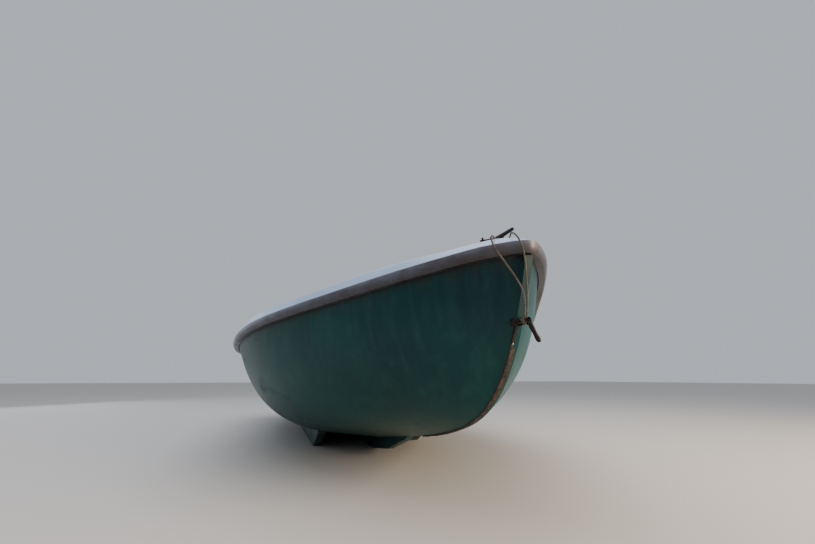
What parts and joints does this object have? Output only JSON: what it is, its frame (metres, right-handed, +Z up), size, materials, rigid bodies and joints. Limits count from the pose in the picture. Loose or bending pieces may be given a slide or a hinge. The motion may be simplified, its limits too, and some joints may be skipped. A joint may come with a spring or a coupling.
{
  "type": "rowing boat",
  "caption": "Small round-bilged plastic rowing boat with raked stem, flat transom, rolled gunwale, short foredeck, thwarts and folding rowlocks.",
  "frame": {"origin": "on the floor under the keel, midway along the boat, on its centreline", "axes": "+X to the bow, +Y to port, +Z up"},
  "size_m": [3.3528, 1.5082, 0.7355],
  "materials": {
    "hull_gelcoat": "weathered gloss",
    "gunwale_gelcoat": "weathered gloss",
    "liner_gelcoat": "weathered gloss",
    "varnished_wood": "worn varnish",
    "rusty_steel": "rusted",
    "dark_iron": "matt, weathered",
    "galvanised_steel": "dull galvanised",
    "rope": "laid twine",
    "black_plastic": "moulded"
  },
  "bodies": {
    "boat": {"hull_shell": "hull_gelcoat", "gunwale_moulding": "gunwale_gelcoat", "cockpit_liner": "liner_gelcoat", "foredeck": "gunwale_gelcoat", "sole_panel": "liner_gelcoat", "centre_thwart": "varnished_wood", "bow_thwart": "varnished_wood", "stern_bench": "varnished_wood", "stern_panel": "liner_gelcoat", "riser_port": "varnished_wood", "riser_starboard": "varnished_wood", "thwart_post": "varnished_wood", "thwart_knees": "varnished_wood", "quarter_knees": "varnished_wood", "keel": "hull_gelcoat", "runner_port": "hull_gelcoat", "runner_starboard": "hull_gelcoat", "stem_band": "rusty_steel", "stretcher_rails": "varnished_wood", "foot_stretcher": "varnished_wood", "rowlock_bracket_port": "galvanised_steel", "rowlock_bracket_starboard": "galvanised_steel", "stem_fitting": "dark_iron", "bow_shackle": "dark_iron", "hanging_hook": "rusty_steel", "rope_hitch": "rope", "rope_turns": "rope", "rope_leg_port": "rope", "rope_leg_starboard": "rope", "mooring_cleat": "dark_iron", "fairlead_port": "dark_iron", "fairlead_starboard": "dark_iron", "outboard_pad_inner": "varnished_wood", "outboard_pad_outer": "varnished_wood", "stern_eye_port": "galvanised_steel", "stern_eye_starboard": "galvanised_steel", "drain_plug": "black_plastic", "inspection_cover": "black_plastic"},
    "block_port": {"rowlock_block_port": "galvanised_steel"},
    "horn_port": {"rowlock_horn_port": "galvanised_steel"},
    "block_starboard": {"rowlock_block_starboard": "galvanised_steel"},
    "horn_starboard": {"rowlock_horn_starboard": "galvanised_steel"}
  },
  "joints": [
    {"name": "rowlock_fold_port", "type": "hinge", "parent": "boat", "child": "block_port", "pos_m": [-0.56, 0.61382, 0.52301], "axis": [-1, 0, 0], "range_deg": [0, 180]},
    {"name": "rowlock_swivel_port", "type": "hinge", "parent": "block_port", "child": "horn_port", "pos_m": [-0.56, 0.61382, 0.46301], "axis": [0, 0, 1], "continuous": true},
    {"name": "rowlock_fold_starboard", "type": "hinge", "parent": "boat", "child": "block_starboard", "pos_m": [-0.56, -0.61382, 0.52301], "axis": [1, 0, 0], "range_deg": [0, 180]},
    {"name": "rowlock_swivel_starboard", "type": "hinge", "parent": "block_starboard", "child": "horn_starboard", "pos_m": [-0.56, -0.61382, 0.46301], "axis": [0, 0, 1], "continuous": true}
  ]
}
